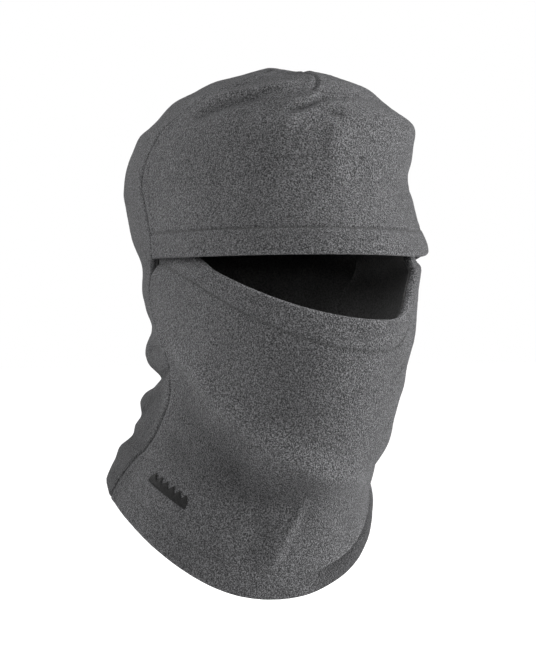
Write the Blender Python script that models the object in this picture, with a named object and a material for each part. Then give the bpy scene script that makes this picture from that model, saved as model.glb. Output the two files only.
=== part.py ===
"""A fleece balaclava in its worn shape: three grey panels, their black lining, the stitching and an emblem.

Metres. +Z is up, the face looks along -Y and the wearer's right is -X. The origin is the middle of the
head at brow height. Angles go round the head from the face (0) towards the wearer's right (+).
"""

import math

import bmesh
import bpy
import numpy as np

MM = 0.001

# Cloth, all in mm
OUTER = 2.0          # thickness of a grey panel
HEM = 3.6            # thickness where a hem is folded double
HEM_WIDTH = 17.5     # edge to topstitch
HEM_BAND = 19.7      # edge to where the folded hem ends
LINING = 1.0         # thickness of the black lining
PLY_GAP = 0.45       # air between a panel and its lining
SEAM_GAP = 0.35      # how far each panel stays from the middle of the side seam
THREAD = 0.45        # thread radius
ROW = 120.0          # length of cloth per unit of t, the coordinate that runs from crown to hem

# Crown dome
TOP = 117.0
DOME_BASE = 43.4
DOME_POWER = 2.35
CROWN_Y = -32.0

# Rings below the dome: t, height at the back and at the front, centre x and y, half width, half length
RINGS = np.array([
    (1.00, 43.4, 43.4, 0.0, 7.0, 86.0, 106.0),
    (1.40, 1.0, 1.0, 0.0, -6.0, 84.0, 105.0),
    (1.60, -20.0, -20.0, 0.0, -7.0, 79.0, 103.0),
    (1.90, -48.0, -58.0, 0.0, -7.0, 76.0, 101.0),
    (2.25, -76.0, -112.0, 0.0, 2.0, 73.0, 93.0),
    (2.60, -104.0, -160.0, -3.0, 17.0, 79.0, 86.0),
    (3.00, -134.0, -207.5, -5.0, 33.0, 87.0, 84.5),
])
DROP_AT = 18.0       # degrees: where the front bib hangs lowest

# Openings and seams
SEAM = 93.0          # degrees from the face to the side seam, before its sway
BROW_EDGE = 0.0      # height of the brow panel's lower edge
EYE_LOW = -37.5      # lowest height of the face panel's upper edge
EYE_LOW_AT = -4.0
EYE_RIGHT = 76.0     # degrees where that edge slips under the brow panel
EYE_LEFT = -33.0
TUCK = 14.0          # how far that edge runs on, up under the brow panel
DART = 0.47          # where the two crown darts end, in t
FRONT_COLS = 29      # columns of points across each front panel and across the back panel
BACK_COLS = 19
DART_COLUMN = 18     # the front dart runs down this column, a little to the wearer's right
EMBLEM_AT = 73.0     # degrees
EMBLEM_T = 2.67

GREY = (0.105, 0.105, 0.110)
BLACK = (0.012, 0.012, 0.013)
THREAD_GREY = (0.075, 0.075, 0.080)


def smooth(x):
    x = np.clip(x, 0.0, 1.0)
    return x * x * (3.0 - 2.0 * x)


def bump(x, middle, spread):
    return np.exp(-((x - middle) / spread) ** 2)


def turned(theta, about=0.0):
    """Angle from about, between -180 and 180."""
    return (np.asarray(theta, float) - about + 180.0) % 360.0 - 180.0


def ring_value(column, t):
    """Smooth curve through one column of RINGS."""
    xs = RINGS[:, 0]
    ys = RINGS[:, column]
    slope = np.gradient(ys, xs)
    t = np.clip(t, xs[0], xs[-1])
    i = np.clip(np.searchsorted(xs, t) - 1, 0, len(xs) - 2)
    w = xs[i + 1] - xs[i]
    u = (t - xs[i]) / w
    a = (1 + 2 * u) * (1 - u) ** 2
    b = u * (1 - u) ** 2
    c = u * u * (3 - 2 * u)
    d = u * u * (u - 1)
    return a * ys[i] + b * w * slope[i] + c * ys[i + 1] + d * w * slope[i + 1]


def base(theta, t):
    """Point of the smooth worn shape, in mm."""
    theta, t = np.broadcast_arrays(np.asarray(theta, float), np.asarray(t, float))
    a = np.radians(theta)
    phi = np.clip(t, 0.0, 1.0) * math.pi / 2
    reach = np.where(t < 1.0, np.abs(np.sin(phi)) ** (2 / DOME_POWER), 1.0)
    rise = np.where(t < 1.0, np.abs(np.cos(phi)) ** (2 / DOME_POWER), 0.0)
    front = (0.5 + 0.5 * np.cos(np.radians(theta - DROP_AT))) ** 2.6
    z_back = ring_value(1, t)
    z_front = ring_value(2, t)
    z = z_back + (z_front - z_back) * front + (TOP - DOME_BASE) * rise
    lean = smooth(t)
    cx = ring_value(3, t)
    cy = CROWN_Y + (ring_value(4, t) - CROWN_Y) * lean
    x = cx - ring_value(5, t) * reach * np.sin(a)
    y = cy - ring_value(6, t) * reach * np.cos(a)
    return np.stack([x, y, z], axis=-1)


def relief(theta, t):
    """Folds and bulges of the worn cloth, in mm outwards."""
    z = base(theta, t)[..., 2]
    theta = turned(theta)
    nape = smooth((np.abs(theta) - 100.0) / 27.0)
    folds = -2.9 * bump(z, -2, 11) + 0.9 * bump(z, -18, 8) - 3.2 * bump(z, -42, 8) + 2.4 * bump(z, -58, 9)
    folds += -9.0 * bump(z, -75, 6) + 1.0 * bump(z, -89, 5) - 2.0 * bump(z, -97, 4) - 4.6 * bump(z, -107, 9)
    folds += 1.6 * bump(z, -105, 4) + 1.2 * bump(z, -120, 5)
    neck = (1.0 - nape) * -3.0 * bump(t, 2.55, 0.13)
    nose = 3.0 * bump(theta, -4, 17) * bump(t, 1.72, 0.2)
    bib = 5.6 * bump(theta, -14, 26) * smooth((t - 2.62) / 0.38)
    lip = bump(theta, -45, 34) * (1.6 * smooth((t - 2.90) / 0.10) - 2.5 * bump(t, 2.86, 0.05))
    side = bump(theta, -52, 38)
    crown = side * (5.0 * bump(t, 0.70, 0.085) - 3.4 * bump(t, 0.95, 0.07) - 2.8 * bump(t, 1.22, 0.16))
    crown += 3.5 * bump(turned(theta, 144.0), 0, 42) * bump(t, 0.31, 0.13)
    crown += bump(theta, 116, 34) * (2.2 * bump(t, 0.50, 0.07) + 1.6 * bump(t, 0.72, 0.05))
    crown += 3.0 * bump(theta, 100, 26) * bump(t, 0.12, 0.08) - 2.8 * bump(theta, 50, 26) * bump(t, 0.16, 0.09)
    crown -= 8.0 * bump(theta, -15, 42) * bump(t, 0.43, 0.15) + 3.6 * bump(theta, -25, 62) * bump(t, 0.20, 0.12)
    neck += side * (3.0 * bump(t, 2.44, 0.09) - 2.0 * bump(t, 2.00, 0.10) - 3.8 * bump(t, 2.76, 0.09))
    return nape * folds + neck + nose + bib + lip + crown


def normal(theta, t):
    """Outward direction of the smooth worn shape."""
    t = np.maximum(t, 0.02)
    du = base(theta + 0.5, t) - base(theta - 0.5, t)
    dv = base(theta, np.minimum(t + 0.01, 3.0)) - base(theta, t - 0.01)
    n = np.cross(du, dv)
    return n / np.linalg.norm(n, axis=-1, keepdims=True)


def cloth(theta, t, offset):
    """Point on the cloth, offset in mm outwards."""
    theta, t, offset = np.broadcast_arrays(theta, t, offset)
    return base(theta, t) + normal(theta, t) * (relief(theta, t) + offset)[..., None]


def seam_angle(t):
    """The side seam runs forward over the crown, back behind the ear, forward at the neck and back again."""
    t = np.asarray(t, float)
    crown = -3.0 - 22.0 * bump(t, 0.33, 0.20) + 5.0 * smooth((t - 0.6) / 0.4)
    neck = 15.0 * bump(t, 1.66, 0.21) - 3.0 * bump(t, 2.25, 0.2) + 7.0 * smooth((t - 2.4) / 0.5)
    return SEAM + crown + neck


def brow_height(theta):
    return BROW_EDGE + 5.0 * bump(theta, -52, 16)


def eye_height(theta):
    """Height of the face panel's upper edge, carried on past the corners under the brow panel."""
    right = np.maximum(theta - EYE_LOW_AT, 0.0) / (EYE_RIGHT - EYE_LOW_AT)
    left = np.maximum(EYE_LOW_AT - theta, 0.0) / (EYE_LOW_AT - EYE_LEFT)
    rise = BROW_EDGE - EYE_LOW
    curve = EYE_LOW + rise * (right ** 2.0 + left ** 3.2)
    over = np.maximum(curve - BROW_EDGE, 0.0)
    return np.minimum(curve, BROW_EDGE) + TUCK * (1.0 - np.exp(-over / TUCK))


def t_at_height(theta, z):
    """t where the smooth shape passes height z."""
    low = np.full(np.shape(theta), 0.3)
    high = np.full(np.shape(theta), 3.0)
    for _ in range(26):
        mid = 0.5 * (low + high)
        above = base(theta, mid)[..., 2] > z
        low = np.where(above, mid, low)
        high = np.where(above, high, mid)
    return 0.5 * (low + high)


def seam_groove(theta, t):
    """The seams pull the cloth in."""
    reach = np.maximum(ring_value(5, t) * np.sin(np.clip(t, 0.02, 1.0) * math.pi / 2), 4.0)
    gap = np.radians(np.abs(np.abs(turned(theta)) - seam_angle(t))) * reach
    return -1.0 * np.exp(-(gap / 3.0) ** 2)


def dart_groove(theta, t, middle):
    """The same along a crown dart, where middle gives the dart's angle at each t."""
    reach = np.maximum(ring_value(6, t) * np.sin(np.clip(t, 0.02, 1.0) * math.pi / 2), 4.0)
    gap = np.radians(np.abs(turned(theta, middle(t)))) * reach
    return -1.2 * np.exp(-(gap / 3.0) ** 2) * smooth((DART + 0.1 - t) / 0.25)


def shell(name, theta, rows, lift, colour, shift, pole=False):
    """Closed sheet between an outer and an inner surface. theta is (rows, columns) in degrees."""
    t = np.array([r[0] for r in rows])
    outer = cloth(theta, t, np.array([r[1] for r in rows]) + lift)
    inner = cloth(theta, t, np.array([r[2] for r in rows]) + lift)
    for grid in (outer, inner):
        grid[..., 1] += shift
    count, width = theta.shape
    bm = bmesh.new()
    first = 1 if pole else 0
    layers = []
    for grid in (outer, inner):
        layer = []
        if pole:
            crown = grid[0].mean(axis=0)
            crown[1] = CROWN_Y + shift
            tip = bm.verts.new(crown * MM)
            layer.append([tip] * width)
        for j in range(first, count):
            layer.append([bm.verts.new(p * MM) for p in grid[j]])
        layers.append(layer)
    top, under = layers
    for j in range(count - 1):
        for i in range(width - 1):
            for layer, flip in ((top, False), (under, True)):
                a, b, c, d = layer[j][i], layer[j + 1][i], layer[j + 1][i + 1], layer[j][i + 1]
                for tri in ((a, b, c), (a, c, d)):
                    if len(set(tri)) == 3:
                        bm.faces.new(tri[::-1] if flip else tri)
    if not pole:
        for i in range(width - 1):
            bm.faces.new((top[0][i], top[0][i + 1], under[0][i + 1], under[0][i]))
    for i in range(width - 1):
        bm.faces.new((top[-1][i + 1], top[-1][i], under[-1][i], under[-1][i + 1]))
    for j in range(count - 1):
        for i, flip in ((0, False), (width - 1, True)):
            ring = [top[j][i], under[j][i], under[j + 1][i], top[j + 1][i]]
            face = list(dict.fromkeys(ring))
            bm.faces.new(face[::-1] if flip else face)
    return finish(name, bm, colour)


def thread(name, centres, closed, colour=THREAD_GREY, radius=THREAD, sides=5):
    """Round thread along a line of points in mm."""
    centres = np.asarray(centres, float)
    count = len(centres)
    if closed:
        ahead = np.roll(centres, -1, axis=0)
        behind = np.roll(centres, 1, axis=0)
    else:
        ahead = np.vstack([centres[1:], centres[-1:]])
        behind = np.vstack([centres[:1], centres[:-1]])
    along = ahead - behind
    along /= np.linalg.norm(along, axis=1, keepdims=True)
    middle = np.array([0.0, 0.0, -30.0])
    side = np.cross(along, centres - middle)
    side /= np.linalg.norm(side, axis=1, keepdims=True)
    up = np.cross(side, along)
    bm = bmesh.new()
    loops = []
    for k in range(count):
        loop = []
        for s in range(sides):
            a = 2 * math.pi * s / sides
            p = centres[k] + radius * (math.cos(a) * side[k] + math.sin(a) * up[k])
            loop.append(bm.verts.new(p * MM))
        loops.append(loop)
    for k in range(count if closed else count - 1):
        near = loops[k]
        far = loops[(k + 1) % count]
        for s in range(sides):
            e = (s + 1) % sides
            bm.faces.new((near[s], far[s], far[e], near[e]))
    if not closed:
        bm.faces.new(loops[0])
        bm.faces.new(loops[-1][::-1])
    return finish(name, bm, colour)


def finish(name, bm, colour):
    bmesh.ops.recalc_face_normals(bm, faces=bm.faces)
    if bm.calc_volume(signed=True) < 0:
        bmesh.ops.reverse_faces(bm, faces=bm.faces)
    mesh = bpy.data.meshes.new(name)
    bm.to_mesh(mesh)
    bm.free()
    for polygon in mesh.polygons:
        polygon.use_smooth = True
    obj = bpy.data.objects.new(name, mesh)
    bpy.context.collection.objects.link(obj)
    material = bpy.data.materials.new(name)
    material.use_nodes = True
    shader = material.node_tree.nodes["Principled BSDF"]
    shader.inputs["Base Color"].default_value = (*colour, 1.0)
    shader.inputs["Roughness"].default_value = 0.95
    mesh.materials.append(material)
    return obj


def columns(count):
    """Places across a panel, from -1 at one side seam to 1 at the other, closer together near the seams."""
    u = np.linspace(-1.0, 1.0, count)
    return np.sign(u) * (1.0 - (1.0 - np.abs(u)) ** 1.15)


def front_angles(count, t_row):
    return columns(count) * seam_angle(t_row)


def back_angles(count, t_row):
    return 180.0 + columns(count) * (180.0 - seam_angle(t_row))


def front_dart(t):
    return columns(FRONT_COLS)[DART_COLUMN] * seam_angle(t)


def back_dart(t):
    return np.full(np.shape(t), 180.0)


def settle(angle_of, count, row_t):
    """Angles and t of one row, where t depends on angle and the seam angle on t."""
    theta = angle_of(count, np.full(count, 1.5))
    t = row_t(theta)
    for _ in range(3):
        theta = angle_of(count, t)
        t = row_t(theta)
    return theta, t


def build_panel(name, angle_of, count, rows, colour, shift, dart, lift, pole=False):
    """rows: (t of an angle, outer offset, inner offset) from the panel's top to its bottom.

    dart gives the angle of the panel's crown dart at each t, and lift an outward push in mm.
    """
    grid_theta = []
    grid_rows = []
    grid_lift = []
    for row_t, outer, inner in rows:
        theta, t = settle(angle_of, count, row_t)
        grid_theta.append(theta)
        groove = seam_groove(theta, t)
        if dart is not None:
            groove = groove + dart_groove(theta, t, dart)
        grid_rows.append((t, outer + groove, inner + groove))
        grid_lift.append(np.zeros(count) if lift is None else lift(theta, t))
    return shell(name, np.array(grid_theta), grid_rows, np.array(grid_lift), colour, shift, pole)


def brow_t(theta):
    return t_at_height(theta, brow_height(theta))


def eye_t(theta):
    return t_at_height(theta, eye_height(theta))


def brow_lift(theta, t):
    """The brow hem stands off the face panel, except where the side seam holds both."""
    up = np.maximum((brow_t(theta) - t) * ROW, 0.0)
    free = 1.0 - smooth((np.abs(theta) - 62.0) / 38.0)
    return 4.6 * free * np.exp(-(up / 26.0) ** 2)


def face_sink(theta, t):
    """The face panel goes in under the brow hem."""
    below = (t - brow_t(theta)) * ROW
    return -4.8 * smooth((12.0 - below) / 10.0)


def crown_rows(edge, skip, count, outer, inner):
    """Even rows from the pole down to skip mm above the edge."""
    rows = []
    for k in range(count):
        f = k / (count - 1)
        rows.append((lambda th, f=f: f * (edge(th) - skip / ROW), outer, inner))
    return rows


def hem_band(edge, inward):
    """Rows of a folded hem from its edge into the panel. inward is +1 where t grows into the panel."""
    steps = (
        (0.0, -0.9, -2.7),
        (1.5, 0.0, -HEM),
        (6.0, 0.0, -HEM),
        (11.0, 0.0, -HEM),
        (HEM_WIDTH - 1.8, 0.0, -HEM),
        (HEM_WIDTH, -0.5, -HEM + 0.6),
        (HEM_BAND, 0.0, -OUTER),
    )
    return [(shifted(edge, inward * d), o, i) for d, o, i in steps]


def between(upper, lower, count, outer, inner):
    """Rows strictly between two edges."""
    rows = []
    for k in range(1, count + 1):
        f = k / (count + 1)
        rows.append((lambda th, f=f: upper(th) * (1 - f) + lower(th) * f, outer, inner))
    return rows


def level_rows(levels, outer, inner):
    """Rows that each keep one t all the way across."""
    return [(lambda th, t=t: np.full(np.shape(th), t), outer, inner) for t in levels]


def hem_line(theta):
    return np.full(np.shape(theta), 3.0)


def shifted(edge, mm):
    return lambda th: edge(th) + mm / ROW


for old in list(bpy.data.objects):
    bpy.data.objects.remove(old, do_unlink=True)

CROWN_ROWS = 19
crown_end = float(t_at_height(np.array([SEAM]), BROW_EDGE)[0]) - HEM_BAND / ROW
BACK_LEVELS = np.concatenate([
    np.linspace(0.0, crown_end, CROWN_ROWS),
    np.linspace(crown_end + 0.055, 1.5, 5),
    np.linspace(1.56, 2.74, 22),
])

# Grey panels
brow_body = crown_rows(brow_t, HEM_BAND, CROWN_ROWS, 0.0, -OUTER)[:-1]
brow_rows = brow_body + hem_band(brow_t, -1.0)[::-1]
build_panel("brow_panel", front_angles, FRONT_COLS, brow_rows, GREY, -SEAM_GAP, front_dart, brow_lift,
            pole=True)

face_body = between(shifted(eye_t, HEM_BAND), shifted(hem_line, -HEM_BAND), 16, 0.0, -OUTER)
face_rows = hem_band(eye_t, 1.0) + face_body + hem_band(hem_line, -1.0)[::-1]
build_panel("face_panel", front_angles, FRONT_COLS, face_rows, GREY, -SEAM_GAP, None, face_sink)

back_body = level_rows(BACK_LEVELS, 0.0, -OUTER)
back_rows = back_body + hem_band(hem_line, -1.0)[::-1]
build_panel("back_panel", back_angles, BACK_COLS, back_rows, GREY, SEAM_GAP, back_dart, None, pole=True)

# Black lining, on the panels' own rows so that the gap between them is even, from the seams to the hems
PLY_OUT = -OUTER - PLY_GAP
PLY_IN = PLY_OUT - LINING


def lining(name, angle_of, count, body, ends, shift, dart, lift, pole):
    rows = [(row_t, PLY_OUT, PLY_IN) for row_t, _, _ in body]
    if not pole:
        rows.insert(0, (ends[0], PLY_OUT, PLY_IN))
    rows.append((ends[1], PLY_OUT, PLY_IN))
    build_panel(name, angle_of, count, rows, BLACK, shift, dart, lift, pole)


above_brow = shifted(brow_t, -HEM_BAND)
below_eyes = shifted(eye_t, HEM_BAND)
above_hem = shifted(hem_line, -HEM_BAND)
lining("brow_lining", front_angles, FRONT_COLS, brow_body, (None, above_brow), -SEAM_GAP,
       front_dart, brow_lift, True)
lining("face_lining", front_angles, FRONT_COLS, face_body, (below_eyes, above_hem), -SEAM_GAP, None,
       face_sink, False)
lining("back_lining", back_angles, BACK_COLS, back_body, (None, above_hem), SEAM_GAP,
       back_dart, None, True)

# Stitching
REST = 0.35 + THREAD
rise_t = np.concatenate([[2.99, 2.94, 2.89, 2.836], BACK_LEVELS[::-1]])
right_side = cloth(seam_angle(rise_t), rise_t, -0.75 + REST)
left_side = cloth(-seam_angle(rise_t), rise_t, -0.75 + REST)
thread("side_seam_stitching", np.vstack([right_side, left_side[-2::-1]]), False)

for stitch_name, line, push in (("brow_hem_stitching", shifted(brow_t, -HEM_WIDTH), brow_lift),
                                ("eye_hem_stitching", shifted(eye_t, HEM_WIDTH), face_sink)):
    theta, t_line = settle(front_angles, FRONT_COLS, line)
    theta = theta[1:-1]
    t_line = t_line[1:-1]
    high = push(theta, t_line) + seam_groove(theta, t_line) - 0.3 + REST
    thread(stitch_name, cloth(theta, t_line, high), False)

t_hem = 3.0 - HEM_WIDTH / ROW
side = float(seam_angle(t_hem))
ring = np.concatenate([
    front_angles(FRONT_COLS, np.full(FRONT_COLS, t_hem))[:-1],
    back_angles(BACK_COLS, np.full(BACK_COLS, t_hem))[:-1],
])
ring = np.concatenate([ring, [side - 2.0, side + 2.0, 360.0 - side - 2.0, 2.0 - side]])
ring = np.sort(np.where(ring < 0.0, ring + 360.0, ring))
signed = np.where(ring > 180.0, ring - 360.0, ring)
across = np.abs(np.abs(signed) - side) * 1.45
over_seam = 2.2 * np.exp(-(across / 3.5) ** 2)
hem_points = cloth(signed, np.full(len(signed), t_hem), seam_groove(signed, t_hem) - 0.25 + REST + over_seam)
thread("bottom_hem_stitching", hem_points, True)

for stitch_name, middle in (("front_dart_stitching", front_dart), ("back_dart_stitching", back_dart)):
    t_line = np.linspace(0.03, DART, 20)
    depth = dart_groove(middle(t_line), t_line, middle) + seam_groove(middle(t_line), t_line)
    thread(stitch_name, cloth(middle(t_line), t_line, depth + 0.15 + REST), False)

# Emblem: a black embroidered bar with a row of plain teeth
us = np.linspace(-15.0, 15.0, 25)
tooth = np.abs(((us + 15.0) / 5.0) % 1.0 - 0.5) * 2.0
rows = [np.full(25, -4.5), np.full(25, 0.0), 0.6 + 4.2 * (1.0 - tooth)]
emblem_theta = np.array([EMBLEM_AT - np.degrees(us / 80.0) for _ in rows])
emblem_rows = [(EMBLEM_T - v / ROW, 1.25, 0.5) for v in rows]
emblem_rows = [tuple(np.broadcast_to(x, (25,)).astype(float) for x in row) for row in emblem_rows]
shell("emblem", emblem_theta, emblem_rows, 0.0, BLACK, -SEAM_GAP)
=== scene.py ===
"""Looks of a fleece balaclava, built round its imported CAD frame.

Lengths on the cloth are in mm and are turned into metres when a mesh is made. The cloth's two coordinates are
theta, degrees round the head from the face (0) towards the wearer's right (+), and t, which runs from the
crown (0) to the hem (3). They are the CAD part's own, so each piece lies where its node is.
"""
import math

import bpy
import numpy as np
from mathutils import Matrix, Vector


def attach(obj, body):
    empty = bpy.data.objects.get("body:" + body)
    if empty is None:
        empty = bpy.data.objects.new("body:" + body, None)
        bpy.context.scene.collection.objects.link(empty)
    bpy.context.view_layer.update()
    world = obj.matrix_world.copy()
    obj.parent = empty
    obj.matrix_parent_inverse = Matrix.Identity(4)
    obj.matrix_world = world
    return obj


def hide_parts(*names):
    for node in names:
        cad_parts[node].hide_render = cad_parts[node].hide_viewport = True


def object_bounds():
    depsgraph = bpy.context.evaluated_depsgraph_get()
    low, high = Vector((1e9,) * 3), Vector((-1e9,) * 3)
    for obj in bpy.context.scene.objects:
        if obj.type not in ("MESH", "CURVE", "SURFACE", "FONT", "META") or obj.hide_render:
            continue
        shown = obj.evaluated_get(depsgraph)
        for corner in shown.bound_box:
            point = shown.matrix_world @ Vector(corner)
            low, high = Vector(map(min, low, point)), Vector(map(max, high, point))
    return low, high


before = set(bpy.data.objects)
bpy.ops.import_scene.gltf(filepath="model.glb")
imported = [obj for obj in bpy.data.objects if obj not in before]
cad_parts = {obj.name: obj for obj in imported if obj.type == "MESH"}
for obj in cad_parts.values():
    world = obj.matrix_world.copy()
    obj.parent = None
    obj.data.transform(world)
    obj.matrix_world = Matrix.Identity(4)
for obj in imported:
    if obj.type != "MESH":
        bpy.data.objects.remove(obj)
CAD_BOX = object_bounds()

MM = 0.001

# Cloth, as in the CAD part
OUTER = 2.0          # thickness of a grey panel
HEM = 3.6            # thickness where a hem is folded double
HEM_WIDTH = 17.5     # edge to topstitch
HEM_BAND = 19.7      # edge to where the folded hem ends
LINING = 1.0
PLY_GAP = 0.45       # air between a panel and its lining
ROW = 120.0          # length of cloth per unit of t
TOP = 117.0
DOME_BASE = 43.4
DOME_POWER = 2.35
CROWN_Y = -32.0
RINGS = np.array([   # t, height at the back and at the front, centre x and y, half width, half length
    (1.00, 43.4, 43.4, 0.0, 7.0, 86.0, 106.0),
    (1.40, 1.0, 1.0, 0.0, -6.0, 84.0, 105.0),
    (1.60, -20.0, -20.0, 0.0, -7.0, 79.0, 103.0),
    (1.90, -48.0, -58.0, 0.0, -7.0, 76.0, 101.0),
    (2.25, -76.0, -112.0, 0.0, 2.0, 73.0, 93.0),
    (2.60, -104.0, -160.0, -3.0, 17.0, 79.0, 86.0),
    (3.00, -134.0, -207.5, -5.0, 33.0, 87.0, 84.5),
])
DROP_AT = 18.0
SEAM = 93.0
BROW_EDGE = 0.0
EYE_LOW = -37.5
EYE_LOW_AT = -4.0
EYE_RIGHT = 76.0
EYE_LEFT = -33.0
TUCK = 14.0
DART = 0.47
FRONT_DART = 0.321   # where the front dart runs, as a share of the way to the side seam
EMBLEM_AT = 73.0
EMBLEM_T = 2.67

# Finer detail
STEP = 1.5           # spacing of a panel's points
FRONT_COLUMNS = 232  # points across a front panel
BACK_COLUMNS = 190
LINING_SHARE = 0.66  # a lining's columns, as a share of its panel's
LINING_STEP = 2.3
LINING_EDGE = 2.6    # from the eye hem's edge to the lining
JOIN = 0.1           # how far each panel's edge stays from the middle of the side seam
STITCH = 2.5         # length of one stitch
PITCH = 3.3          # from one stitch to the next
THREAD = 0.27        # thread radius on the hems
SEAM_THREAD = 0.18   # thread radius where a seam closes over it
THREAD_SIDES = 6
SEAM_DEPTH = 0.15    # how far each line of thread lies below the cloth round it
TOPSTITCH_DEPTH = 0.62
BOTTOM_DEPTH = 0.40
DART_DEPTH = 0.05
BROW_STANDS_OFF = 4.6
FACE_SINKS = 4.8
FOLD_SCALE = 1.6     # about how many mm a degree is, for where a fold fades

# Emblem
EMBLEM_HALF = 15.0
EMBLEM_FOOT = -4.3   # lowest end of its threads
TOOTH_WIDTH = 5.0
TOOTH_HEIGHT = 4.0
SATIN_PITCH = 0.42   # from one satin thread to the next
SATIN_THREAD = 0.25  # satin thread radius
EMBLEM_RADIUS = 82.0   # about how far the emblem is from the head's middle line

# Folds of the cloth on the head, which also set its painted shade and highlight: (angle, t) points, half
# width in mm, height in mm
FOLDS = [
    ([(27, 0.45), (20, 0.485), (12, 0.475), (0, 0.45), (-16, 0.40)], 2.0, -2.4),
    ([(27, 0.51), (16, 0.53), (4, 0.52), (-10, 0.49)], 4.5, 1.6),
    ([(37, 0.675), (31, 0.652), (26, 0.617), (20, 0.562), (11, 0.537), (-7, 0.503)], 1.9, -2.9),
    ([(40, 0.62), (32, 0.595), (26, 0.55), (20, 0.50)], 4.5, 1.8),
    ([(36, 0.735), (28, 0.70), (20, 0.64)], 5.0, 1.6),
    ([(17, 0.672), (8, 0.678)], 2.0, -2.2),
    ([(78, 0.66), (67, 0.612), (61, 0.572), (53, 0.547), (46, 0.488)], 5.5, -2.8),
    ([(80, 0.56), (70, 0.53), (59, 0.50), (49, 0.46), (40, 0.42), (32, 0.39)], 4.5, 2.2),
    ([(50, 0.70), (40, 0.72), (28, 0.76)], 9.0, 1.5),
    ([(18, 0.72), (18, 0.93)], 3.5, -0.5),
    ([(12, 0.66), (12, 0.85), (12, 1.06)], 9.0, 1.3),
    ([(106, 1.78), (91, 1.92), (62, 2.17), (23, 2.33), (-5, 2.43), (-33, 2.63)], 7.0, 3.0),
    ([(87, 2.19), (76, 2.29), (62, 2.35), (40, 2.46)], 8.0, -2.4),
    ([(93, 2.47), (66, 2.47), (42, 2.50), (20, 2.50), (0, 2.60)], 11.0, -3.0),
    ([(14, 2.50), (16, 2.59), (20, 2.73), (22, 2.84)], 3.6, 2.1),
    ([(28, 2.58), (31, 2.74), (33, 2.86)], 9.0, -1.6),
    ([(-32, 1.99), (-14, 2.05)], 3.4, -1.1),
    ([(-30, 2.25), (-19, 2.265)], 3.2, -1.0),
    ([(118, 1.98), (109, 1.96), (100, 1.99)], 3.6, -1.6),
    ([(120, 2.19), (106, 2.15), (99, 2.12), (92, 2.04)], 3.2, -2.2),
    ([(124, 2.47), (115, 2.43), (109, 2.35), (104, 2.27)], 3.0, -1.7),
    ([(124, 2.64), (110, 2.617), (101, 2.597), (94, 2.587)], 3.0, -1.9),
    ([(116, 2.30), (108, 2.24), (102, 2.20)], 5.0, 1.2),
    ([(120, 2.53), (110, 2.49), (100, 2.42)], 5.0, 1.2),
    ([(-62, 1.75), (-48, 1.98), (-40, 2.20)], 6.0, 1.2),
    ([(-104, 2.30), (-80, 2.36), (-58, 2.52)], 7.0, -1.6),
    ([(-104, 2.10), (-78, 2.14), (-55, 2.30)], 7.0, 1.5),
    ([(150, 0.40), (168, 0.47), (192, 0.45)], 3.4, -1.0),
]


def smooth(x):
    x = np.clip(x, 0.0, 1.0)
    return x * x * (3.0 - 2.0 * x)


def bump(x, middle, spread):
    return np.exp(-((x - middle) / spread) ** 2)


def turned(theta, about=0.0):
    """Angle from about, between -180 and 180."""
    return (np.asarray(theta, float) - about + 180.0) % 360.0 - 180.0


def ring_value(column, t):
    """Smooth curve through one column of RINGS."""
    xs = RINGS[:, 0]
    ys = RINGS[:, column]
    slope = np.gradient(ys, xs)
    t = np.clip(t, xs[0], xs[-1])
    i = np.clip(np.searchsorted(xs, t) - 1, 0, len(xs) - 2)
    w = xs[i + 1] - xs[i]
    u = (t - xs[i]) / w
    a = (1 + 2 * u) * (1 - u) ** 2
    b = u * (1 - u) ** 2
    c = u * u * (3 - 2 * u)
    d = u * u * (u - 1)
    return a * ys[i] + b * w * slope[i] + c * ys[i + 1] + d * w * slope[i + 1]


def base(theta, t):
    """Point of the smooth shape the cloth takes on the head, in mm."""
    theta, t = np.broadcast_arrays(np.asarray(theta, float), np.asarray(t, float))
    a = np.radians(theta)
    phi = np.clip(t, 0.0, 1.0) * math.pi / 2
    reach = np.where(t < 1.0, np.abs(np.sin(phi)) ** (2 / DOME_POWER), 1.0)
    rise = np.where(t < 1.0, np.abs(np.cos(phi)) ** (2 / DOME_POWER), 0.0)
    front = (0.5 + 0.5 * np.cos(np.radians(theta - DROP_AT))) ** 2.6
    z_back = ring_value(1, t)
    z_front = ring_value(2, t)
    z = z_back + (z_front - z_back) * front + (TOP - DOME_BASE) * rise
    cy = CROWN_Y + (ring_value(4, t) - CROWN_Y) * smooth(t)
    x = ring_value(3, t) - ring_value(5, t) * reach * np.sin(a)
    y = cy - ring_value(6, t) * reach * np.cos(a)
    return np.stack([x, y, z], axis=-1)


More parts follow.
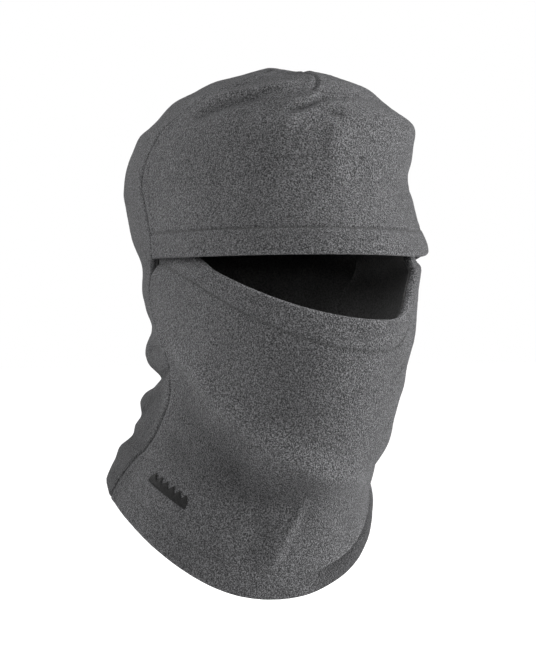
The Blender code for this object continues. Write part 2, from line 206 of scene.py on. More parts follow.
def relief(theta, t):
    """Large folds and bulges, as in the CAD part, in mm outwards."""
    z = base(theta, t)[..., 2]
    theta = turned(theta)
    nape = smooth((np.abs(theta) - 100.0) / 27.0)
    folds = -2.9 * bump(z, -2, 11) + 0.9 * bump(z, -18, 8) - 3.2 * bump(z, -42, 8) + 2.4 * bump(z, -58, 9)
    folds += -9.0 * bump(z, -75, 6) + 1.0 * bump(z, -89, 5) - 2.0 * bump(z, -97, 4) - 4.6 * bump(z, -107, 9)
    folds += 1.6 * bump(z, -105, 4) + 1.2 * bump(z, -120, 5)
    neck = (1.0 - nape) * -3.0 * bump(t, 2.55, 0.13)
    nose = 3.0 * bump(theta, -4, 17) * bump(t, 1.72, 0.2)
    bib = 5.6 * bump(theta, -14, 26) * smooth((t - 2.62) / 0.38)
    lip = bump(theta, -45, 34) * (1.6 * smooth((t - 2.90) / 0.10) - 2.5 * bump(t, 2.86, 0.05))
    side = bump(theta, -52, 38)
    crown = side * (5.0 * bump(t, 0.70, 0.085) - 3.4 * bump(t, 0.95, 0.07) - 2.8 * bump(t, 1.22, 0.16))
    crown += 3.5 * bump(turned(theta, 144.0), 0, 42) * bump(t, 0.31, 0.13)
    crown += bump(theta, 116, 34) * (2.2 * bump(t, 0.50, 0.07) + 1.6 * bump(t, 0.72, 0.05))
    crown += (3.0 * bump(theta, 100, 26) * bump(t, 0.12, 0.08)
              - 2.8 * bump(theta, 50, 26) * bump(t, 0.16, 0.09))
    crown -= (8.0 * bump(theta, -15, 42) * bump(t, 0.43, 0.15)
              + 3.6 * bump(theta, -25, 62) * bump(t, 0.20, 0.12))
    neck += side * (3.0 * bump(t, 2.44, 0.09) - 2.0 * bump(t, 2.00, 0.10) - 3.8 * bump(t, 2.76, 0.09))
    return nape * folds + neck + nose + bib + lip + crown


def normal(theta, t):
    """Outward direction of the smooth shape on the head."""
    t = np.maximum(t, 0.02)
    du = base(theta + 0.5, t) - base(theta - 0.5, t)
    dv = base(theta, np.minimum(t + 0.01, 3.0)) - base(theta, t - 0.01)
    n = np.cross(du, dv)
    return n / np.linalg.norm(n, axis=-1, keepdims=True)


def seam_angle(t):
    """The side seam runs forward over the crown, back behind the ear, forward at the neck and back again."""
    t = np.asarray(t, float)
    crown = -3.0 - 22.0 * bump(t, 0.33, 0.20) + 5.0 * smooth((t - 0.6) / 0.4)
    neck = 15.0 * bump(t, 1.66, 0.21) - 3.0 * bump(t, 2.25, 0.2) + 7.0 * smooth((t - 2.4) / 0.5)
    return SEAM + crown + neck


def brow_height(theta):
    return BROW_EDGE + 5.0 * bump(theta, -52, 16)


def eye_height(theta):
    """Height of the face panel's upper edge, carried on past the corners under the brow panel."""
    right = np.maximum(theta - EYE_LOW_AT, 0.0) / (EYE_RIGHT - EYE_LOW_AT)
    left = np.maximum(EYE_LOW_AT - theta, 0.0) / (EYE_LOW_AT - EYE_LEFT)
    curve = EYE_LOW + (BROW_EDGE - EYE_LOW) * (right ** 2.0 + left ** 3.2)
    over = np.maximum(curve - BROW_EDGE, 0.0)
    return np.minimum(curve, BROW_EDGE) + TUCK * (1.0 - np.exp(-over / TUCK))


def t_at_height(theta, z):
    """t where the smooth shape passes height z."""
    low = np.full(np.shape(theta), 0.3)
    high = np.full(np.shape(theta), 3.0)
    for _ in range(26):
        mid = 0.5 * (low + high)
        above = base(theta, mid)[..., 2] > z
        low = np.where(above, mid, low)
        high = np.where(above, high, mid)
    return 0.5 * (low + high)


ANGLES = np.linspace(-120.0, 120.0, 961)
BROW_T = t_at_height(ANGLES, brow_height(ANGLES))
EYE_T = t_at_height(ANGLES, eye_height(ANGLES))


def brow_t(theta):
    return np.interp(theta, ANGLES, BROW_T)


def eye_t(theta):
    return np.interp(theta, ANGLES, EYE_T)


def hem_t(theta):
    return np.full(np.shape(theta), 3.0)


def brow_lift(theta, t):
    """The brow hem stands off the face panel, except where the side seam holds both."""
    up = np.maximum((brow_t(theta) - t) * ROW, 0.0)
    free = 1.0 - smooth((np.abs(theta) - 62.0) / 38.0)
    return BROW_STANDS_OFF * free * np.exp(-(up / 26.0) ** 2)


def face_sink(theta, t):
    """The face panel goes in under the brow hem."""
    below = (t - brow_t(theta)) * ROW
    return -FACE_SINKS * smooth((12.0 - below) / 10.0)


def no_lift(theta, t):
    return np.zeros(np.shape(theta))


def lattice(cell):
    """A fixed number from 0 to 1 for each whole-number point in space."""
    n = cell[..., 0] * 374761393 + cell[..., 1] * 668265263 + cell[..., 2] * 1274126177
    n = (n ^ (n >> 13)) * 1103515245 & 0x7FFFFFFF
    return ((n ^ (n >> 16)) & 0xFFFFFF) / float(0xFFFFFF)


def noise(points, size):
    """Smooth noise from -1 to 1 whose lumps are about size mm across."""
    q = points / size
    cell = np.floor(q).astype(np.int64)
    f = smooth(q - cell)
    total = 0.0
    for corner in np.ndindex(2, 2, 2):
        weight = np.prod(np.where(np.array(corner), f, 1.0 - f), axis=-1)
        total = total + weight * lattice(cell + np.array(corner))
    return total * 2.0 - 1.0


def radius(t):
    """About how far the cloth is from the head's middle line, in mm."""
    reach = np.sin(np.clip(t, 0.02, 1.0) * math.pi / 2) ** (2 / DOME_POWER)
    return 0.5 * (ring_value(5, t) + ring_value(6, t)) * reach


def fold(theta, t, points, width, height):
    """A ridge or crease along a line of (angle, t) points, fading at its two ends."""
    wide = radius(t) * math.pi / 180.0
    spans = [math.hypot((b[0] - a[0]) * FOLD_SCALE, (b[1] - a[1]) * ROW)
             for a, b in zip(points, points[1:])]
    total = sum(spans)
    nearest = np.full(theta.shape, 1e9)
    share = np.zeros(theta.shape)
    done = 0.0
    for (a0, t0), (a1, t1), span in zip(points, points[1:], spans):
        ax = turned(theta, a0) * wide
        ay = (t - t0) * ROW
        bx = (a1 - a0) * wide
        by = (t1 - t0) * ROW
        f = np.clip((ax * bx + ay * by) / (bx * bx + by * by), 0.0, 1.0)
        gap = np.hypot(ax - f * bx, ay - f * by)
        closer = gap < nearest
        nearest = np.where(closer, gap, nearest)
        share = np.where(closer, (done + f * span) / total, share)
        done += span
    fade = 0.15 + 0.85 * smooth(np.minimum(share, 1.0 - share) / 0.22)
    return height * fade * np.exp(-(nearest / width) ** 2)


def seam_gap(theta, t):
    """Distance to the nearer side seam, in mm."""
    return np.radians(np.abs(np.abs(turned(theta)) - seam_angle(t))) * radius(t)


def front_dart(t):
    return FRONT_DART * seam_angle(t)


def back_dart(t):
    return np.full(np.shape(t), 180.0)


def dart_gap(theta, t, middle):
    """Distance to a crown dart, in mm, growing again past the dart's lower end."""
    across = np.radians(np.abs(turned(theta, middle(t)))) * radius(t)
    past = np.maximum(t - DART, 0.0) * ROW
    return np.hypot(across, past)


def turned_under(theta):
    """Share, from 0 to 1, by which the bottom hem turns under on the front left."""
    theta = turned(theta)
    return smooth((theta + 62.0) / 14.0) * smooth((8.0 - theta) / 16.0)


def nape_shade(theta, t):
    """Share, from 0 to 1, of painted shade behind the neck, where the folds keep the light out."""
    return smooth((np.abs(turned(theta)) - 90.0) / 14.0) * smooth((t - 1.85) / 0.5)


def folds_and_painted_shade(theta, t):
    """Folds, seam pulls and the unevenness of the cloth on the head, in mm outwards; the panels' painted
    shade and highlight follow them too.
    """
    total = turned_under(theta) * (1.3 * bump(t, 2.858, 0.020) - 2.4 * bump(t, 2.888, 0.012)
                                   - 0.7 * smooth((t - 2.88) / 0.02))
    for points, width, height in FOLDS:
        total += fold(theta, t, points, width, height)
    p = base(theta, t)
    total += 0.55 * noise(p, 34.0) + 0.28 * noise(p + 70.0, 15.0)
    front = np.abs(turned(theta)) < seam_angle(t)
    gap = seam_gap(theta, t)
    away = smooth(radius(t) / 25.0)
    total += away * np.where(front, 0.8 * bump(gap, 3.6, 2.6), 0.35 * bump(gap, 4.0, 3.0))
    total -= (0.4 + 0.6 * away) * bump(gap, 0.0, 0.9)
    for middle in (front_dart, back_dart):
        gap = dart_gap(theta, t, middle)
        pull = 0.6 * bump(gap, 3.4, 2.4) - 1.2 * bump(gap, 0.0, 1.0)
        total += away * pull * smooth((DART + 0.10 - t) / 0.10)
    return total


def pile(points):
    """Short fleece pile: small lumps over the outer face."""
    return 0.09 * noise(points, 3.1) + 0.09 * noise(points + 31.0, 1.9)


def hem_outer(d, pull):
    """Outer face near a folded hem, d from its edge: rounded, padded, and pulled in by its stitches."""
    r = HEM / 2
    near = np.minimum(d, r)
    round_edge = np.sqrt(np.maximum(r * r - (r - near) ** 2, 0.0)) - r
    pad = 0.45 * np.sin(math.pi * np.clip(d / HEM_WIDTH, 0.0, 1.0)) ** 0.8
    return 0.97 * round_edge + pull * (pad - 0.75 * bump(d, HEM_WIDTH, 1.1))


def cloth_thickness(d):
    """Thickness at d from a folded hem's edge: double in the hem, single beyond its stitches."""
    return HEM + (OUTER - HEM) * smooth((d - HEM_WIDTH + 0.6) / (HEM_BAND - HEM_WIDTH))


def hem_inner(d):
    r = HEM / 2
    near = np.minimum(d, r)
    round_edge = r - np.sqrt(np.maximum(r * r - (r - near) ** 2, 0.0))
    return 0.97 * round_edge - cloth_thickness(d) + 0.35 * bump(d, HEM_WIDTH, 1.1)


def columns(count, power=1.35):
    """Places across a panel, from -1 at one side seam to 1 at the other, closer together near the seams."""
    u = np.linspace(-1.0, 1.0, count)
    return np.sign(u) * (1.0 - (1.0 - np.abs(u)) ** power)


def front_angles(count, t):
    return columns(count) * seam_angle(t)


def back_angles(count, t):
    return 180.0 + columns(count) * (180.0 - seam_angle(t))


def lay_out(angle_of, count, lines):
    """Angle and t of every point on a panel, where t depends on the angle and the seam's angle on t."""
    theta = np.repeat(angle_of(count, np.full(count, 1.5))[None], len(lines), axis=0)
    for _ in range(6):
        t = np.stack([line(row) for line, row in zip(lines, theta)])
        theta = angle_of(count, t)
    return theta, t


def down_from(edge, d):
    return lambda theta: edge(theta) + d / ROW


def split(upper, lower, share):
    return lambda theta: upper(theta) * (1.0 - share) + lower(theta) * share


def crown_line(theta):
    return np.zeros(np.shape(theta))


HEM_STEPS = np.concatenate([
    [0.0, 0.1, 0.4, 0.9, 1.5, 2.3],
    np.arange(3.5, HEM_WIDTH - 2.0, STEP),
    HEM_WIDTH + np.array([-1.7, -1.1, -0.6, 0.0, 0.6, 1.1, 1.7, 2.6, 3.8]),
])
BAND_END = HEM_STEPS[-1]


def panel_lines(upper, lower, upper_hem, step, steps=HEM_STEPS):
    """Rows from the top of a panel to its bottom: fine in the folded hems, even between them."""
    start = down_from(upper, BAND_END) if upper_hem else upper
    end = down_from(lower, -BAND_END)
    middle = float(lower(np.array([0.0]))[0] - upper(np.array([0.0]))[0]) * ROW
    count = int((middle - BAND_END * (2 if upper_hem else 1)) / step)
    lines = [down_from(upper, d) for d in steps[:-1]] if upper_hem else []
    lines += [split(start, end, k / count) for k in range(count + 1)]
    lines += [down_from(lower, -d) for d in steps[-2::-1]]
    return lines


def lining_lines(upper, lower, upper_hem, step):
    """Rows of a lining, which covers the eye hem's inner side too and stops short of the other hems."""
    start = down_from(upper, LINING_EDGE) if upper_hem else upper
    end = down_from(lower, -HEM_BAND)
    middle = float(end(np.array([0.0]))[0] - start(np.array([0.0]))[0]) * ROW
    count = int(middle / step)
    return [split(start, end, k / count) for k in range(count + 1)]


def shared_points(theta, t, offset, shift):
    n = normal(theta, t)
    p = base(theta, t) + n * (relief(theta, t) + offset)[..., None]
    p[..., 1] += shift
    return p, n


def closed_sheet(name, outer, inner, material, pole, shade=None):
    """One closed body between an outer and an inner grid of points, given as (rows, columns, 3) in mm."""
    rows, cols = outer.shape[:2]
    skip = 1 if pole else 0
    index = []
    points = []
    start = 0
    for grid in (outer, inner):
        ids = np.zeros((rows, cols), int)
        if pole:
            tip = grid[1].mean(axis=0)
            tip[1] = CROWN_Y + (grid[0, 0, 1] - CROWN_Y)
            points.append(tip[None])
            ids[0] = start
            start += 1
        body = grid[skip:].reshape(-1, 3)
        ids[skip:] = start + np.arange(len(body)).reshape(rows - skip, cols)
        start += len(body)
        points.append(body)
        index.append(ids)
    top, under = index
    faces = []
    for ids, flip in ((top, False), (under, True)):
        a = ids[:-1, :-1].ravel()
        b = ids[1:, :-1].ravel()
        c = ids[1:, 1:].ravel()
        d = ids[:-1, 1:].ravel()
        for corner in zip(a, b, c, d):
            ring = list(dict.fromkeys(int(v) for v in corner))
            faces.append(ring[::-1] if flip else ring)
    rims = [(under[-1], top[-1])]
    if not pole:
        rims.append((top[0], under[0]))
    for near, far in rims:
        for i in range(cols - 1):
            faces.append([int(near[i]), int(near[i + 1]), int(far[i + 1]), int(far[i])])
    for side, flip in ((0, False), (-1, True)):
        for j in range(rows - 1):
            ring = [top[j, side], under[j, side], under[j + 1, side], top[j + 1, side]]
            ring = list(dict.fromkeys(int(v) for v in ring))
            faces.append(ring[::-1] if flip else ring)
    values = None
    if shade is not None:
        values = []
        for _ in range(2):
            if pole:
                values.append(shade[:1, 0])
            values.append(shade[skip:].ravel())
        values = np.concatenate(values)
    return make_piece(name, np.concatenate(points), faces, material, values)


def make_piece(name, points, faces, material, values=None):
    mesh = bpy.data.meshes.new(name)
    mesh.from_pydata((np.asarray(points) * MM).tolist(), [], faces)
    mesh.polygons.foreach_set("use_smooth", [True] * len(mesh.polygons))
    mesh.materials.append(material)
    if values is not None:
        # Per-point painted shade and highlight, read by the fleece material
        layer = mesh.attributes.new("folds_and_painted_shade", "FLOAT", "POINT")
        layer.data.foreach_set("value", np.asarray(values, np.float32))
    mesh.validate()
    mesh.update()
    piece = bpy.data.objects.new(name, mesh)
    bpy.context.collection.objects.link(piece)
    return piece


def build_panel(name, angle_of, lines, count, upper, lower, upper_hem, shift, lift, material):
    theta, t = lay_out(angle_of, count, lines)
    detail = folds_and_painted_shade(theta, t)
    d_low = np.maximum((lower(turned(theta)) - t) * ROW, 0.0)
    d_top = np.maximum((t - upper(turned(theta))) * ROW, 0.0) if upper_hem else np.full(theta.shape, 99.0)
    d = np.minimum(d_low, d_top)
    pull = np.where((d_low < d_top) & (lower is hem_t), 0.45, 1.0)
    push = lift(theta, t) + detail
    skin = base(theta, t) + normal(theta, t) * relief(theta, t)[..., None]
    fuzz = pile(skin) * smooth(seam_gap(theta, t) / 3.0)
    outer, _ = shared_points(theta, t, push + hem_outer(d, pull) + fuzz, shift)
    inner, _ = shared_points(theta, t, push + hem_inner(d), shift)
    # Per-point painted light: painted highlight on ridges, hem edges lighter (partly edge wear, partly
    # painted highlight), painted shade in creases, stitch lines, seams and the folds behind the neck
    shade = 0.5 + 0.12 * detail + 0.30 * bump(d, 0.4, 1.3) - 0.35 * pull ** 2 * bump(d, HEM_WIDTH, 0.9)
    shade -= 0.40 * bump(seam_gap(theta, t), 0.0, 0.8) + 0.50 * nape_shade(theta, t)
    # Turned-under hem on the front left: painted highlight on its ridge, painted shade on the band below
    shade += turned_under(theta) * (0.28 * bump(t, 2.862, 0.014) - 0.38 * smooth((t - 2.874) / 0.008))
    return closed_sheet(name, outer, inner, material, not upper_hem, np.clip(shade, 0.0, 1.0))


def build_lining(name, angle_of, lines, count, upper, shift, lift, pole, material):
    theta, t = lay_out(angle_of, count, lines)
    d = np.full(theta.shape, 99.0) if pole else (t - upper(turned(theta))) * ROW
    push = lift(theta, t) + folds_and_painted_shade(theta, t) - cloth_thickness(d) - PLY_GAP
    outer, _ = shared_points(theta, t, push, shift)
    skin = base(theta, t)
    inner, _ = shared_points(theta, t, push - LINING + 0.08 * noise(skin, 2.6), shift)
    return closed_sheet(name, outer, inner, material, pole)


def add_thread(points, faces, centre, up, side, girth, arch):
    """Add a closed tube: its centre line, outward and sideways directions, radius and rise at each ring."""
    first = len(points)
    for c, u, w, g, a in zip(centre, up, side, girth, arch):
        for m in range(THREAD_SIDES):
            angle = 2 * math.pi * m / THREAD_SIDES
            points.append(c + u * (a + g * math.sin(angle)) + w * g * math.cos(angle))
    last = first + (len(centre) - 1) * THREAD_SIDES
    for low in range(first, last, THREAD_SIDES):
        for m in range(THREAD_SIDES):
            e = (m + 1) % THREAD_SIDES
            faces.append([low + m, low + e, low + THREAD_SIDES + e, low + THREAD_SIDES + m])
    faces.append([first + m for m in range(THREAD_SIDES)][::-1])
    faces.append([last + m for m in range(THREAD_SIDES)])


def stitches(name, lines, material, thick=THREAD):
    """Separate stitches along each line, where a line is its points and outward directions in mm."""
    points = []
    faces = []
    for path, out in lines:
        gaps = np.linalg.norm(np.diff(path, axis=0), axis=1)
        arc = np.concatenate([[0.0], np.cumsum(gaps)])
        count = int(arc[-1] / PITCH)
        shares = np.array([0.0, 0.12, 0.35, 0.65, 0.88, 1.0])
        for k in range(count):
            s = (k + 0.5) * arc[-1] / count + (shares - 0.5) * STITCH
            s = np.clip(s, 0.0, arc[-1])
            centre = np.stack([np.interp(s, arc, path[:, c]) for c in range(3)], axis=1)
            up = np.stack([np.interp(s, arc, out[:, c]) for c in range(3)], axis=1)
            up /= np.linalg.norm(up, axis=1, keepdims=True)
            along = centre[-1] - centre[0]
            along /= np.linalg.norm(along)
            side = np.cross(along, up)
            arch = np.array([-0.9, 0.0, 0.55, 0.55, 0.0, -0.9]) * thick
            girth = np.array([0.55, 0.95, 1.0, 1.0, 0.95, 0.55]) * thick
            add_thread(points, faces, centre, up, side, girth, arch)
    return make_piece(name, np.array(points), faces, material)


def stitch_line(theta, t, offset, shift=0.0):
    theta = np.asarray(theta, float)
    t = np.asarray(t, float)
    return shared_points(theta, t, folds_and_painted_shade(theta, t) + offset, shift)


# Materials


class Nodes:
    """Shorthand for building one node material."""

    def __init__(self, name):
        self.material = bpy.data.materials.new(name)
        self.material.use_nodes = True
        self.tree = self.material.node_tree
        self.shader = self.tree.nodes["Principled BSDF"]
        self.place = self.add("ShaderNodeTexCoord").outputs["Object"]

    def add(self, kind, **settings):
        node = self.tree.nodes.new(kind)
        for key, value in settings.items():
            setattr(node, key, value)
        return node

    def link(self, source, target):
        self.tree.links.new(source, target)

    def noise(self, scale, detail=2.0, roughness=0.5, distortion=0.0):
        node = self.add("ShaderNodeTexNoise")
        self.link(self.place, node.inputs["Vector"])
        node.inputs["Scale"].default_value = scale
        node.inputs["Detail"].default_value = detail
        node.inputs["Roughness"].default_value = roughness
        node.inputs["Distortion"].default_value = distortion
        return node.outputs["Fac"]

    def cells(self, scale, feature="SMOOTH_F1"):
        node = self.add("ShaderNodeTexVoronoi", feature=feature)
        self.link(self.place, node.inputs["Vector"])
        node.inputs["Scale"].default_value = scale
        return node.outputs["Distance"]

    def math(self, operation, a, b):
        node = self.add("ShaderNodeMath", operation=operation)
        for socket, value in zip(node.inputs, (a, b)):
            if isinstance(value, (int, float)):
                socket.default_value = value
            else:
                self.link(value, socket)
        return node.outputs[0]

    def ramp(self, source, stops):
        node = self.add("ShaderNodeValToRGB")
        ramp = node.color_ramp
        while len(ramp.elements) < len(stops):
            ramp.elements.new(0.5)
        for element, (at, colour) in zip(ramp.elements, stops):
            element.position = at
            element.color = (*colour, 1.0)
        self.link(source, node.inputs["Fac"])
        return node.outputs["Color"]

    def mix(self, blend, factor, a, b):
        node = self.add("ShaderNodeMix", data_type="RGBA", blend_type=blend)
        for socket, value in ((node.inputs[0], factor), (node.inputs[6], a), (node.inputs[7], b)):
            if isinstance(value, (int, float)):
                socket.default_value = value
            elif isinstance(value, tuple):
                socket.default_value = (*value, 1.0)
            else:
                self.link(value, socket)
        return node.outputs[2]

    def bump(self, height, distance, strength=1.0, normal_in=None):
        node = self.add("ShaderNodeBump")
        node.inputs["Strength"].default_value = strength
        node.inputs["Distance"].default_value = distance
        self.link(height, node.inputs["Height"])
        if normal_in is not None:
            self.link(normal_in, node.inputs["Normal"])
        return node.outputs["Normal"]

    def attribute(self, name):
        return self.add("ShaderNodeAttribute", attribute_name=name).outputs["Fac"]


def grey(value, blue=1.0):
    return (value, value, value * blue)


def fleece_material():
    """Brushed grey fleece: pebbled pile, with painted highlight on ridges and painted shade in seams and
    creases.
    """
    n = Nodes("grey_fleece_pile")
    lumps = n.noise(1250.0, 1.0, 0.5, 0.3)
    fibres = n.noise(3400.0, 1.0, 0.5)
    cells = n.cells(900.0)
    height = n.math("ADD", lumps, n.math("MULTIPLY", cells, 0.25))
    grain = n.ramp(lumps, [(0.35, grey(0.015, 1.03)), (0.50, grey(0.058, 1.03)), (0.65, grey(0.142, 1.03))])
    patches = n.ramp(n.noise(34.0, 3.0, 0.6), [(0.30, grey(0.90)), (0.70, grey(1.09))])
    colour = n.mix("MULTIPLY", 1.0, grain, patches)
    # Painted shade and highlight from the panels' per-point values
    painted_shade_ramp = n.ramp(n.attribute("folds_and_painted_shade"), [(0.0, grey(0.45)), (0.5, grey(1.0)), (1.0, grey(1.45))])
    colour = n.mix("MULTIPLY", 1.0, colour, painted_shade_ramp)
    fibre_tint = n.ramp(fibres, [(0.35, grey(0.90)), (0.65, grey(1.10))])
    colour = n.mix("MULTIPLY", 1.0, colour, fibre_tint)
    n.link(colour, n.shader.inputs["Base Color"])
    fine = n.bump(fibres, 0.0002, 0.5)
    n.link(n.bump(height, 0.0020, 1.0, fine), n.shader.inputs["Normal"])
    rough = n.add("ShaderNodeMapRange")
    rough.inputs["To Min"].default_value = 0.86
    rough.inputs["To Max"].default_value = 1.0
    n.link(lumps, rough.inputs["Value"])
    n.link(rough.outputs[0], n.shader.inputs["Roughness"])
    n.shader.inputs["Specular IOR Level"].default_value = 0.12
    n.shader.inputs["Sheen Weight"].default_value = 0.22
    n.shader.inputs["Sheen Roughness"].default_value = 0.55
    n.shader.inputs["Sheen Tint"].default_value = (0.62, 0.62, 0.64, 1.0)
    return n.material


def lining_material():
    """Black inner face: a finer, flatter pile."""
    n = Nodes("black_lining_pile")
    lumps = n.noise(900.0, 2.0, 0.6)
    grain = n.ramp(lumps, [(0.35, grey(0.030)), (0.65, grey(0.070))])
    patches = n.ramp(n.noise(40.0, 2.0), [(0.3, grey(0.85)), (0.7, grey(1.15))])
    n.link(n.mix("MULTIPLY", 1.0, grain, patches), n.shader.inputs["Base Color"])
    n.link(n.bump(lumps, 0.0005, 0.7), n.shader.inputs["Normal"])
    n.shader.inputs["Roughness"].default_value = 0.95
    n.shader.inputs["Specular IOR Level"].default_value = 0.10
    n.shader.inputs["Sheen Weight"].default_value = 0.12
    n.shader.inputs["Sheen Roughness"].default_value = 0.5
    return n.material


def thread_material(name, dark, light, sheen):
    """Twisted thread: fine fibre noise in colour and height."""
    n = Nodes(name)
    fibre = n.noise(2600.0, 3.0, 0.65)
    n.link(n.ramp(fibre, [(0.3, grey(dark)), (0.7, grey(light))]), n.shader.inputs["Base Color"])
    n.link(n.bump(fibre, 0.00012, 0.6), n.shader.inputs["Normal"])
    n.shader.inputs["Roughness"].default_value = 0.62
    n.shader.inputs["Specular IOR Level"].default_value = 0.25
    n.shader.inputs["Sheen Weight"].default_value = sheen
    return n.material


FLEECE = fleece_material()
BLACK_FLEECE = lining_material()
GREY_THREAD = thread_material("grey_thread_fibre", 0.035, 0.065, 0.1)
BLACK_THREAD = thread_material("black_thread_fibre", 0.004, 0.012, 0.05)

# Panels: name, angles, upper edge, lower edge, is the upper edge folded, shift off the seam, lift, columns
PANELS = [
    ("brow", front_angles, crown_line, brow_t, False, -JOIN, brow_lift, FRONT_COLUMNS),
    ("face", front_angles, eye_t, hem_t, True, -JOIN, face_sink, FRONT_COLUMNS),
    ("back", back_angles, crown_line, hem_t, False, JOIN, no_lift, BACK_COLUMNS),
]
made = {}
for part, angle_of, upper, lower, upper_hem, shift, lift, count in PANELS:
    lines = panel_lines(upper, lower, upper_hem, STEP)
    outer_piece = build_panel(part + "_panel_cloth", angle_of, lines, count, upper, lower, upper_hem,
                              shift, lift, FLEECE)
    thin_lines = lining_lines(upper, lower, upper_hem, LINING_STEP)
    inner_piece = build_lining(part + "_lining_cloth", angle_of, thin_lines, int(count * LINING_SHARE), upper,
                               shift, lift, not upper_hem, BLACK_FLEECE)
    made[part + "_panel"] = outer_piece
    made[part + "_lining"] = inner_piece

# Stitching
span = np.linspace(-1.0, 1.0, 400) * 0.985
t_side = np.linspace(2.985, 0.02, 600)
made["side_seam_stitching"] = stitches(
    "side_seam_stitches",
    [stitch_line(sign * seam_angle(t_side), t_side, -SEAM_DEPTH) for sign in (1.0, -1.0)],
    GREY_THREAD,
    thick=SEAM_THREAD,
)
for node, edge, inward, push in (("brow_hem_stitching", brow_t, -1.0, brow_lift),
                                 ("eye_hem_stitching", eye_t, 1.0, face_sink)):
    theta = span * seam_angle(1.3)
    t = edge(theta) + inward * HEM_WIDTH / ROW
    theta = span * seam_angle(t)
    t = edge(theta) + inward * HEM_WIDTH / ROW
    made[node] = stitches(node.replace("stitching", "stitches"),
                          [stitch_line(theta, t, push(theta, t) - TOPSTITCH_DEPTH, -JOIN)], GREY_THREAD)
theta = np.linspace(-180.0, 180.0, 900)
t = np.full(900, 3.0 - HEM_WIDTH / ROW)
made["bottom_hem_stitching"] = stitches("bottom_hem_stitches", [stitch_line(theta, t, -BOTTOM_DEPTH)],
                                        GREY_THREAD)
for node, middle in (("front_dart_stitching", front_dart), ("back_dart_stitching", back_dart)):
    t = np.linspace(0.03, DART, 120)
    made[node] = stitches(node.replace("stitching", "stitches"),
                          [stitch_line(middle(t), t, -DART_DEPTH)], GREY_THREAD, thick=SEAM_THREAD)


def emblem_piece():
    """A plain embroidered bar with a row of teeth, made of upright satin threads."""
    xs = np.arange(-EMBLEM_HALF, EMBLEM_HALF + 0.01, SATIN_PITCH)
    tooth = np.abs(((xs + EMBLEM_HALF) / TOOTH_WIDTH) % 1.0 - 0.5) * 2.0
    tops = 0.6 + TOOTH_HEIGHT * (1.0 - tooth)
    shares = np.linspace(0.0, 1.0, 9)
    girth = SATIN_THREAD * np.array([0.5, 0.9, 1, 1, 1, 1, 1, 0.9, 0.5])
    points = []
    faces = []
    for k, (x, high) in enumerate(zip(xs, tops)):
        low = EMBLEM_FOOT - 0.12 * (k % 2)
        v = low + (high - low) * shares
        across = x + 0.05 * np.sin(v * 2.0 + k)
        theta = np.full(len(v), EMBLEM_AT) - math.degrees(1.0) * across / EMBLEM_RADIUS
        t = EMBLEM_T - v / ROW
        arch = 0.20 + 0.55 * np.sin(math.pi * shares) ** 0.5 + 0.06 * math.sin(k * 2.4)
        centre, up = stitch_line(theta, t, arch, -JOIN)
        along = np.gradient(centre, axis=0)
        along /= np.linalg.norm(along, axis=1, keepdims=True)
        side = np.cross(along, up)
        add_thread(points, faces, centre, up, side, girth, np.zeros(len(v)))
    return make_piece("emblem_embroidery", np.array(points), faces, BLACK_THREAD)


made["emblem"] = emblem_piece()

for node, piece in made.items():
    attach(piece, "root")
    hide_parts(node)

# Studio
CAMERA_TURN = math.radians(-33.0)
RIGHT = np.array([math.cos(CAMERA_TURN), math.sin(CAMERA_TURN), 0.0])
TOWARDS = np.array([math.sin(CAMERA_TURN), -math.cos(CAMERA_TURN), 0.0])
UP = np.array([0.0, 0.0, 1.0])
DISTANCE = 1.1
VIEW_WIDTH = 0.343   # what the picture's width takes in at the head
TARGET = np.array([0.0, 0.0, -0.0466]) - RIGHT * 0.0026
SENSOR = 36.0
FLOOR_REACH = 12.0
FLOOR_DROP = 0.12    # from the hem down to the floor


def aim(obj, towards):
    direction = Vector(towards) - obj.location
    obj.rotation_euler = direction.to_track_quat("-Z", "Y").to_euler()


camera_data = bpy.data.cameras.new("camera")
camera_data.sensor_fit = "HORIZONTAL"
camera_data.sensor_width = SENSOR
camera_data.lens = SENSOR * DISTANCE / VIEW_WIDTH
camera = bpy.data.objects.new("camera", camera_data)
bpy.context.collection.objects.link(camera)
camera.location = TARGET + TOWARDS * DISTANCE
aim(camera, TARGET)
bpy.context.scene.camera = camera


def lamp(name, place, size, power):
    data = bpy.data.lights.new(name, "AREA")
    data.shape = "DISK"
    data.size = size
    data.energy = power
    obj = bpy.data.objects.new(name, data)
    bpy.context.collection.objects.link(obj)
    obj.location = TARGET + place
    aim(obj, TARGET)


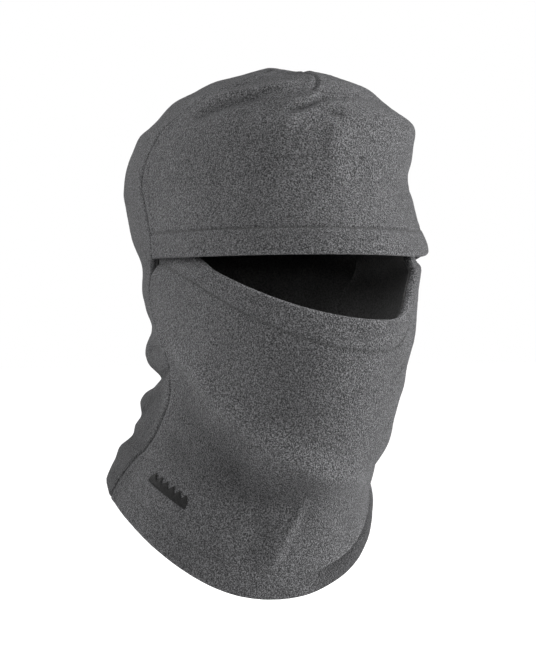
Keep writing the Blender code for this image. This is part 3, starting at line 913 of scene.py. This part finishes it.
lamp("key", RIGHT * 1.50 + TOWARDS * 0.25 + UP * 0.25, 0.7, 42.0)
lamp("rim", -RIGHT * 1.35 - TOWARDS * 0.75 + UP * 0.55, 0.7, 18.0)
lamp("fill", -RIGHT * 0.30 + TOWARDS * 1.55 + UP * 0.45, 0.8, 20.0)

world = bpy.data.worlds.new("studio")
bpy.context.scene.world = world
world.use_nodes = True
tree = world.node_tree
background = tree.nodes["Background"]
background.inputs["Color"].default_value = (1.0, 1.0, 1.0, 1.0)
path = tree.nodes.new("ShaderNodeLightPath")
level = tree.nodes.new("ShaderNodeMapRange")
level.inputs["To Min"].default_value = 0.28
level.inputs["To Max"].default_value = 1.0
tree.links.new(path.outputs["Is Camera Ray"], level.inputs["Value"])
tree.links.new(level.outputs[0], background.inputs["Strength"])

floor_material = bpy.data.materials.new("pale_floor")
floor_material.use_nodes = True
floor_shader = floor_material.node_tree.nodes["Principled BSDF"]
floor_shader.inputs["Base Color"].default_value = (0.60, 0.60, 0.60, 1.0)
floor_shader.inputs["Roughness"].default_value = 0.9
floor_shader.inputs["Emission Color"].default_value = (1.0, 1.0, 1.0, 1.0)
floor_path = floor_material.node_tree.nodes.new("ShaderNodeLightPath")
floor_glow = floor_material.node_tree.nodes.new("ShaderNodeMapRange")
floor_glow.inputs["To Max"].default_value = 0.95
floor_material.node_tree.links.new(floor_path.outputs["Is Camera Ray"], floor_glow.inputs["Value"])
floor_material.node_tree.links.new(floor_glow.outputs[0], floor_shader.inputs["Emission Strength"])
floor_mesh = bpy.data.meshes.new("floor")
floor_z = CAD_BOX[0][2] - FLOOR_DROP
corners = [(x * FLOOR_REACH, y * FLOOR_REACH, floor_z) for x, y in ((-1, -1), (1, -1), (1, 1), (-1, 1))]
floor_mesh.from_pydata(corners, [], [(0, 1, 2, 3)])
floor_mesh.materials.append(floor_material)
floor = bpy.data.objects.new("floor", floor_mesh)
bpy.context.collection.objects.link(floor)

bpy.context.scene.view_settings.view_transform = "Standard"
